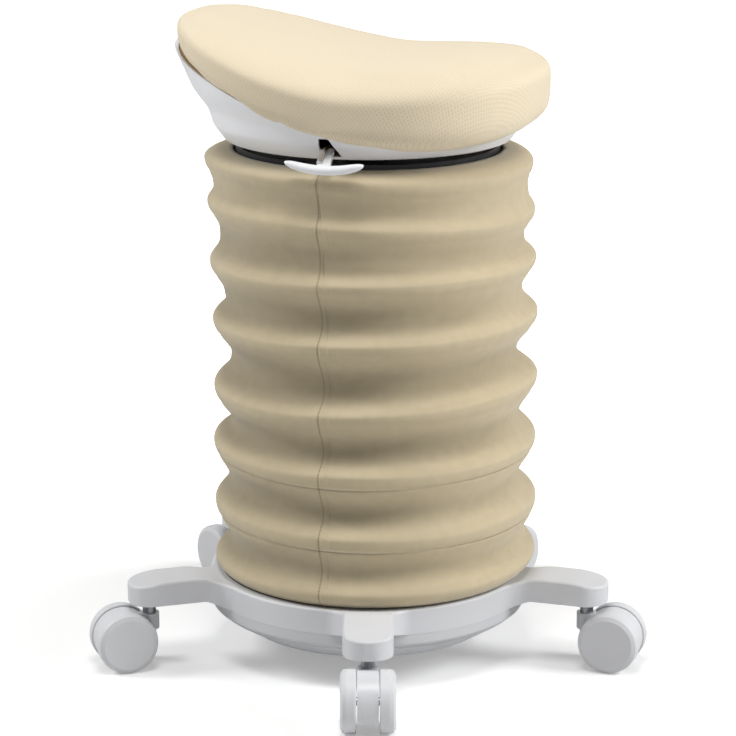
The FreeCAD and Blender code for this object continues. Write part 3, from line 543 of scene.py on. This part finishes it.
class STOOL_OT_sleeve(bpy.types.Operator):
    """Adds the pleated fabric sleeve in three sections, the highest of them attached to the column"""

    bl_idname = "stool.sleeve"
    bl_label = "Sleeve"

    def execute(self, context):
        sizes = context.scene.stool_sleeve
        profile = sleeve_profile(sizes)
        first, second = HOOPS[1] - 7.5, HOOPS[2] - 7.5
        cuts = [0]
        for level in (first, second):
            cuts.append(min(range(len(profile)), key=lambda i: abs(profile[i][1] - level)))
        cuts.append(len(profile) - 1)
        material = knit("warp_knit_polyester", context.scene.stool_colours.sleeve)
        length = [0.0]
        for (r0, z0), (r1, z1) in zip(profile, profile[1:]):
            length.append(length[-1] + math.hypot(r1 - r0, z1 - z0))
        heights = [z for _, z in profile]
        rim = 2 * math.pi * MEAN_RADIUS

        def spot(point):
            z = point.z / MM
            above = next((k for k, h in enumerate(heights) if h > z), len(heights))
            i = max(0, min(len(heights) - 2, above - 1))
            share = (z - heights[i]) / (heights[i + 1] - heights[i])
            along = length[i] + share * (length[i + 1] - length[i])
            return math.atan2(point.y, point.x) * MEAN_RADIUS, along, rim

        names = ("sleeve_low", "sleeve_middle", "sleeve_high")
        sections = []
        for name, low, high in zip(names, cuts, cuts[1:]):
            piece = sleeve_section(name, profile[low : high + 1])
            shape_sleeve(piece, profile)
            only(piece)
            bpy.ops.object.mode_set(mode="EDIT")
            bpy.ops.mesh.select_all(action="SELECT")
            bpy.ops.mesh.normals_make_consistent(inside=False)
            bpy.ops.object.mode_set(mode="OBJECT")
            map_cloth(piece, spot)
            modify(piece, "SOLIDIFY", thickness=sizes.wall, offset=-1.0)
            bpy.ops.object.shade_smooth()
            piece.data.materials.append(material)
            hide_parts("bellows", "bellows_hoops")
            sections.append((piece, profile[low], profile[high]))
        low, middle, high = sections
        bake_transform(low[0])
        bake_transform(middle[0])
        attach(high[0], "column")
        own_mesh(high[0])
        return {"FINISHED"}


# Cushion

def saddle_arc(along, low, low_at, radius, straight):
    """Height of a curve that is an arc round its lowest place and a straight run at the rear."""

    def arc(x):
        return low + radius - math.sqrt(radius**2 - (x - low_at) ** 2)

    if along >= straight:
        return arc(along)
    run = straight - low_at
    return arc(straight) + run / math.sqrt(radius**2 - run**2) * (along - straight)


def saddle_floor(along):
    """Height of the board under the cushion at a distance along the seat, in millimetres."""
    return saddle_arc(along, 529.0, 100.0, 400.0, -40.0)


def saddle_hem(along):
    """Height of the cushion's lower edge, which hangs over the shell's rim."""
    return saddle_arc(along, 519.5, 104.0, 480.0, -123.0)


def shell_radius(height):
    """Outer radius of the seat shell's bowl at a height, in millimetres."""
    levels = [(517.0, 139.0), (532.0, 150.0), (548.0, 155.0), (568.0, 170.0), (620.0, 192.0)]
    for (low, inner), (high, outer) in zip(levels, levels[1:]):
        if height <= high:
            return inner + (outer - inner) * max(0.0, height - low) / (high - low)
    return levels[-1][1]


def saddle_ridge(along, sizes):
    """Height of the cushion's crown along its middle line, with a dip and a higher rear."""
    dip, dip_at = sizes.dip_height / MM, 20.0
    if along < dip_at:
        return dip + 42.0 * ((dip_at - along) / 180.0) ** 1.65
    return dip + 19.0 * ((along - dip_at) / 150.0) ** 1.6


def shape_cushion(piece, sizes, inset):
    """Turns a ball's points into the saddle: rounded plan, full roll, and a hem over the shell's rim."""
    half_length = sizes.length / MM / 2 - inset
    half_width = sizes.width / MM / 2 - inset
    shift, belly_share = -2.6, 0.55
    plan, roll_top, roll_floor = 2.5, 2.5, 5.0
    for vertex in piece.data.vertices:
        x, y, z = vertex.co.normalized()
        flat = math.hypot(x, y)
        turn = math.atan2(y, x)
        c, s = abs(math.cos(turn)), abs(math.sin(turn))
        edge = (c**plan + s**plan) ** (-1 / plan)
        roll = roll_top if z > 0 else roll_floor
        reach = flat ** (2 / roll)
        lift = abs(z) ** (2 / roll)
        along = shift + half_length * edge * math.cos(turn) * reach
        across = half_width * edge * math.sin(turn) * reach
        hem = saddle_hem(along) + inset
        ridge = saddle_ridge(along, sizes) - inset
        belly = hem + belly_share * (ridge - hem)
        height = belly + (ridge - belly) * lift if z > 0 else belly - (belly - hem) * lift
        if z < 0:
            rim = saddle_floor(along)
            outside = math.hypot(along, across) - shell_radius(rim) + 8.0
            share = min(1.0, max(0.0, outside / 6.0 + 1.0))
            height = max(height, rim + inset + 0.4 + (hem - rim) * share)
        px, py = from_seat(along, across)
        vertex.co = (px * MM, py * MM, height * MM)


def swell(piece, pressure, cap_mm):
    """Lets the cover's pressure round the pad for 20 frames, with each point's travel capped."""
    scene = bpy.context.scene
    rest = [v.co.copy() for v in piece.data.vertices]
    cloth = piece.modifiers.new("Cloth", "CLOTH")
    settings = cloth.settings
    settings.quality = 6
    settings.mass = 0.3
    settings.use_pressure = True
    settings.uniform_pressure_force = pressure
    settings.tension_stiffness = 40
    settings.compression_stiffness = 40
    settings.bending_stiffness = 2
    settings.effector_weights.gravity = 0
    cloth.collision_settings.use_collision = False
    cloth.point_cache.frame_start, cloth.point_cache.frame_end = 1, 20
    for step in range(1, 21):
        scene.frame_set(step)
    only(piece)
    bpy.ops.object.modifier_apply(modifier=cloth.name)
    scene.frame_set(1)
    for vertex, before in zip(piece.data.vertices, rest):
        move = vertex.co - before
        if move.length > cap_mm * MM:
            vertex.co = before + move.normalized() * (cap_mm * MM)


class STOOL_OT_cushion(bpy.types.Operator):
    """Adds the saddle cushion, swollen under its cover, with spacer mesh on it"""

    bl_idname = "stool.cushion"
    bl_label = "Cushion"

    def execute(self, context):
        sizes = context.scene.stool_cushion
        # The pad starts a little inside its size, and its cover's pressure swells it from there.
        inset_mm, swell_mm, pressure = 1.2, 1.5, 4.0
        bpy.ops.object.select_all(action="DESELECT")
        bpy.ops.mesh.primitive_cube_add(size=1.0, location=(0, 0, 0))
        piece = start("cushion")
        bpy.ops.mesh.subdivide(number_cuts=55)
        settle(piece)
        shape_cushion(piece, sizes, inset_mm)
        swell(piece, pressure, swell_mm)
        modify(piece, "SMOOTH", factor=0.5, iterations=2)
        modify(piece, "SUBSURF", levels=1, render_levels=1)
        self.lay_cover(piece, sizes)
        settle(piece)
        bpy.ops.object.shade_smooth()
        piece.data.materials.append(spacer_mesh("spacer_mesh", context.scene.stool_colours.seat))
        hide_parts("seat_cover", "cushion_foam")
        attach(piece, "seat")
        return {"FINISHED"}

    def lay_cover(self, piece, sizes):
        """Maps the cover from above, its sides spread outwards by how far they drop."""

        def spot(point):
            along, across = seat_axes(point.x / MM, point.y / MM)
            floor, ridge = saddle_floor(along), saddle_ridge(along, sizes)
            high = (point.z / MM - floor) / (ridge - floor)
            out = 1 + 60.0 * max(0.0, 1 - high) ** 1.5 / max(1.0, math.hypot(along, across))
            return along * out, across * out, 0.0

        map_cloth(piece, spot)


# Pieces of the CAD model that keep their shapes

class STOOL_OT_base(bpy.types.Operator):
    """Dresses the star base, its tray and the castors"""

    bl_idname = "stool.base"
    bl_label = "Base and castors"

    def execute(self, context):
        colours = context.scene.stool_colours
        dress(moulded("moulded_nylon_base", colours.base, 0.42, 0.9, 0.06), "star_base")
        # The tray's darker grey is painted shade for its place under the drum.
        dress(moulded("moulded_pp_tray", colours.tray, 0.5, 0.9, 0.06), "base_tray")
        dress(moulded("moulded_nylon_hood", colours.castor, 0.38, 0.8, 0.04), *numbered("castor_hood"))
        dress(
            moulded("moulded_nylon_wheel", colours.castor, 0.4, 0.8, 0.05),
            *numbered("castor_wheel", "ab"),
        )
        dress(metal("zinc_plated_stem", "#8C8D90", 0.35, 0.3), *numbered("castor_stem"))
        dress(metal("polished_axle", "#C8C9CB", 0.15), *numbered("castor_axle"))
        return {"FINISHED"}


class STOOL_OT_column(bpy.types.Operator):
    """Dresses the wobble joint, column, gas cylinder and what holds the sleeve"""

    bl_idname = "stool.column"
    bl_label = "Column and joint"

    def execute(self, context):
        dress(moulded("moulded_rubber", "#1B1B1C", 0.75, 0.7, 0.08), "rubber_stop")
        dress(
            # The sleeve's cap is a black acetal ring, and its black also stands in for the shade in the gap
            # under the shell's front: painted shade.
            moulded("moulded_black_acetal", "#1A1A1C", 0.45, 0.8, 0.05),
            "bellows_lower_ring", "bellows_cap", "bellows_upper_ring", "guide_bush",
            "lower_bushes", "upper_bushes", "swivel_bearing",
        )
        dress(
            metal("zinc_plated_steel", "#B4B6B9", 0.32, 0.5),
            "lower_yoke", "upper_yoke", "cardan_cross", "base_screws", "mechanism_plate",
            "lever_bracket", "seat_socket", "thrust_bearing",
        )
        dress(metal("black_painted_steel", "#141416", 0.4, 0.0, 0.0), "column_tube")
        dress(
            metal("chromed_steel", "#D2D3D5", 0.08),
            "gas_cylinder", "piston_rod", "lever_pin", "lever_rod",
        )
        return {"FINISHED"}


def lever_shape():
    """Finger bar bowed downwards, with a flat stem that runs back into the shell's slot."""
    along_mid, reach, height, half, bow = 5.5, 166.0, 511.5, 38.0, 6.0
    bpy.ops.mesh.primitive_uv_sphere_add(segments=32, ring_count=48, radius=1.0)
    bar = start("lever_handle")
    bpy.ops.transform.rotate(value=math.radians(90), orient_axis="Y", center_override=(0, 0, 0))
    settle(bar)
    for vertex in bar.data.vertices:
        share = max(-1.0, min(1.0, vertex.co.x))
        thick = math.sqrt(max(0.0, 1 - share**2)) or 1.0
        full = (1 - abs(share) ** 5) ** 0.5
        y, z = vertex.co.y / thick * full, vertex.co.z / thick * full
        px, py = from_seat(along_mid + share * half, -reach + 5.2 * y)
        vertex.co = (px * MM, py * MM, (height + 4.4 * z + bow * share**2) * MM)
    bpy.ops.object.select_all(action="DESELECT")
    bpy.ops.mesh.primitive_cube_add(size=1.0)
    stem = start("lever_stem")
    bpy.ops.mesh.subdivide(number_cuts=7)
    settle(stem)
    for vertex in stem.data.vertices:
        share = vertex.co.y + 0.5
        out = 1 - share
        width = 9.5 + 4.0 * out**3
        px, py = from_seat(
            along_mid - 1.0 - 1.5 * share + vertex.co.x * width, -reach + 1.0 + 26.0 * share
        )
        rise = 1.0 + 12.5 * share**1.2
        vertex.co = (px * MM, py * MM, (height + rise + vertex.co.z * (7.0 - 1.5 * share)) * MM)
    modify(stem, "BEVEL", width=1.2 * MM, segments=3)
    modify(bar, "BOOLEAN", operation="UNION", object=stem)
    bpy.data.objects.remove(stem)
    smooth(bar, 50.0)
    return bar


class STOOL_OT_seat(bpy.types.Operator):
    """Dresses the seat shell, its board and the release lever"""

    bl_idname = "stool.seat"
    bl_label = "Seat shell and lever"

    def execute(self, context):
        code = context.scene.stool_colours.shell
        dress(moulded("moulded_abs_shell", code, 0.32, 0.7, 0.03, 0.1), "seat_shell")
        lever = lever_shape()
        lever.data.materials.append(moulded("moulded_abs_handle", code, 0.25, 0.7, 0.02, 0.2))
        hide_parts("lever_handle")
        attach(lever, "lever")
        dress(moulded("moulded_red_button", "#B02A22", 0.4, 0.7, 0.04), "valve_button")
        dress(plywood("bent_birch_plywood", "#C7A878"), "seat_board")
        return {"FINISHED"}


# Stage

def area_lamp(name, place, aim, size, power):
    bpy.ops.object.light_add(type="AREA", location=place)
    lamp = bpy.context.active_object
    lamp.name = name
    lamp.data.shape = "SQUARE"
    lamp.data.size = size
    lamp.data.energy = power
    lamp.rotation_euler = (Vector(aim) - Vector(place)).to_track_quat("-Z", "Y").to_euler()


def floor_material():
    """Pale matt sweep that glows for camera rays, so the camera sees it white; near the stool it glows
    less, painted shade that adds to the grey of the stool's real shadow.
    """
    material, tree, shader = new_material("matt_paper_sweep", {"Roughness": 0.9})
    at = add(tree, "ShaderNodeTexCoord").outputs["Object"]
    tooth = add(tree, "ShaderNodeTexNoise", {"Vector": at, "Scale": 8.0})
    tree.links.new(shades(tree, "#E6E6E6", tooth.outputs["Fac"], 0.01), shader.inputs["Base Color"])
    # Painted shade: for camera rays the floor glows fully beyond 0.9 m from the stool and only 0.3 within
    # 0.3 m of it, so that it is darker round the stool.
    away = add(tree, "ShaderNodeVectorMath", {0: at}, operation="LENGTH")
    level = add(
        tree,
        "ShaderNodeMapRange",
        {"Value": away.outputs["Value"], "From Min": 0.3, "From Max": 0.9, "To Min": 0.3, "To Max": 1.0},
        interpolation_type="SMOOTHSTEP",
    )
    seen = add(tree, "ShaderNodeLightPath").outputs["Is Camera Ray"]
    painted_glow = add(tree, "ShaderNodeMath", {0: seen, 1: level.outputs["Result"]}, operation="MULTIPLY")
    shader.inputs["Emission Color"].default_value = (1, 1, 1, 1)
    tree.links.new(painted_glow.outputs[0], shader.inputs["Emission Strength"])
    return material


class STOOL_OT_stage(bpy.types.Operator):
    """Adds the pale floor, the studio lamps, the white surround and the camera"""

    bl_idname = "stool.stage"
    bl_label = "Stage"

    def execute(self, context):
        bpy.ops.object.select_all(action="DESELECT")
        bpy.ops.mesh.primitive_plane_add(size=30.0, location=(0, 0, 0))
        floor = bpy.context.active_object
        floor.name = "floor"
        floor.data.materials.append(floor_material())
        area_lamp("right", (2.6, -0.6, 1.9), (0, 0, 0.35), 1.1, 74.0)
        area_lamp("left", (-2.5, 0.2, 2.2), (0, 0, 0.35), 1.1, 54.0)
        area_lamp("top", (-0.1, -1.1, 2.9), (0, 0, 0.4), 1.0, 32.0)
        world = bpy.data.worlds.new("studio")
        context.scene.world = world
        world.use_nodes = True
        tree = world.node_tree
        tree.nodes.clear()
        path = add(tree, "ShaderNodeLightPath")
        direct = add(
            tree,
            "ShaderNodeMath",
            {0: path.outputs["Is Camera Ray"], 1: path.outputs["Is Glossy Ray"]},
            operation="MAXIMUM",
        )
        strength = add(
            tree,
            "ShaderNodeMapRange",
            {"Value": direct.outputs[0], "To Min": 0.12, "To Max": 1.0},
        )
        background = add(
            tree,
            "ShaderNodeBackground",
            {"Color": (1, 1, 1, 1), "Strength": strength.outputs["Result"]},
        )
        add(tree, "ShaderNodeOutputWorld", {"Surface": background.outputs["Background"]})
        bpy.ops.object.camera_add(location=CAMERA_PLACE, rotation=(CAMERA_TILT, 0, 0))
        camera = bpy.context.active_object
        camera.data.sensor_width = SENSOR
        camera.data.lens = SENSOR * FOCAL_PIXELS / FRAME_PIXELS
        context.scene.camera = camera
        context.scene.view_settings.view_transform = "Standard"
        return {"FINISHED"}


class STOOL_PT_panel(bpy.types.Panel):
    """Lists the stool's sizes, colours and steps"""

    bl_label = "Wobble Stool"
    bl_idname = "STOOL_PT_panel"
    bl_space_type = "VIEW_3D"
    bl_region_type = "UI"
    bl_category = "Stool"

    def draw(self, context):
        layout = self.layout
        for group in ("stool_sleeve", "stool_cushion", "stool_colours"):
            box = layout.box()
            values = getattr(context.scene, group)
            for name in values.__annotations__:
                box.prop(values, name)
        for step in STEPS:
            layout.operator(step.bl_idname)


GROUPS = {
    "stool_sleeve": StoolSleeveSizes,
    "stool_cushion": StoolCushionSizes,
    "stool_colours": StoolColours,
}
STEPS = (STOOL_OT_stage, STOOL_OT_base, STOOL_OT_column, STOOL_OT_seat, STOOL_OT_sleeve, STOOL_OT_cushion)


def register():
    for kind in (*GROUPS.values(), *STEPS, STOOL_PT_panel):
        bpy.utils.register_class(kind)
    for name, kind in GROUPS.items():
        setattr(bpy.types.Scene, name, bpy.props.PointerProperty(type=kind))


def unregister():
    for name in GROUPS:
        delattr(bpy.types.Scene, name)
    for kind in reversed((*GROUPS.values(), *STEPS, STOOL_PT_panel)):
        bpy.utils.unregister_class(kind)


def main():
    register()
    bpy.ops.stool.stage()
    bpy.ops.stool.base()
    bpy.ops.stool.column()
    bpy.ops.stool.seat()
    bpy.ops.stool.sleeve()
    bpy.ops.stool.cushion()


if __name__ == "__main__":
    main()
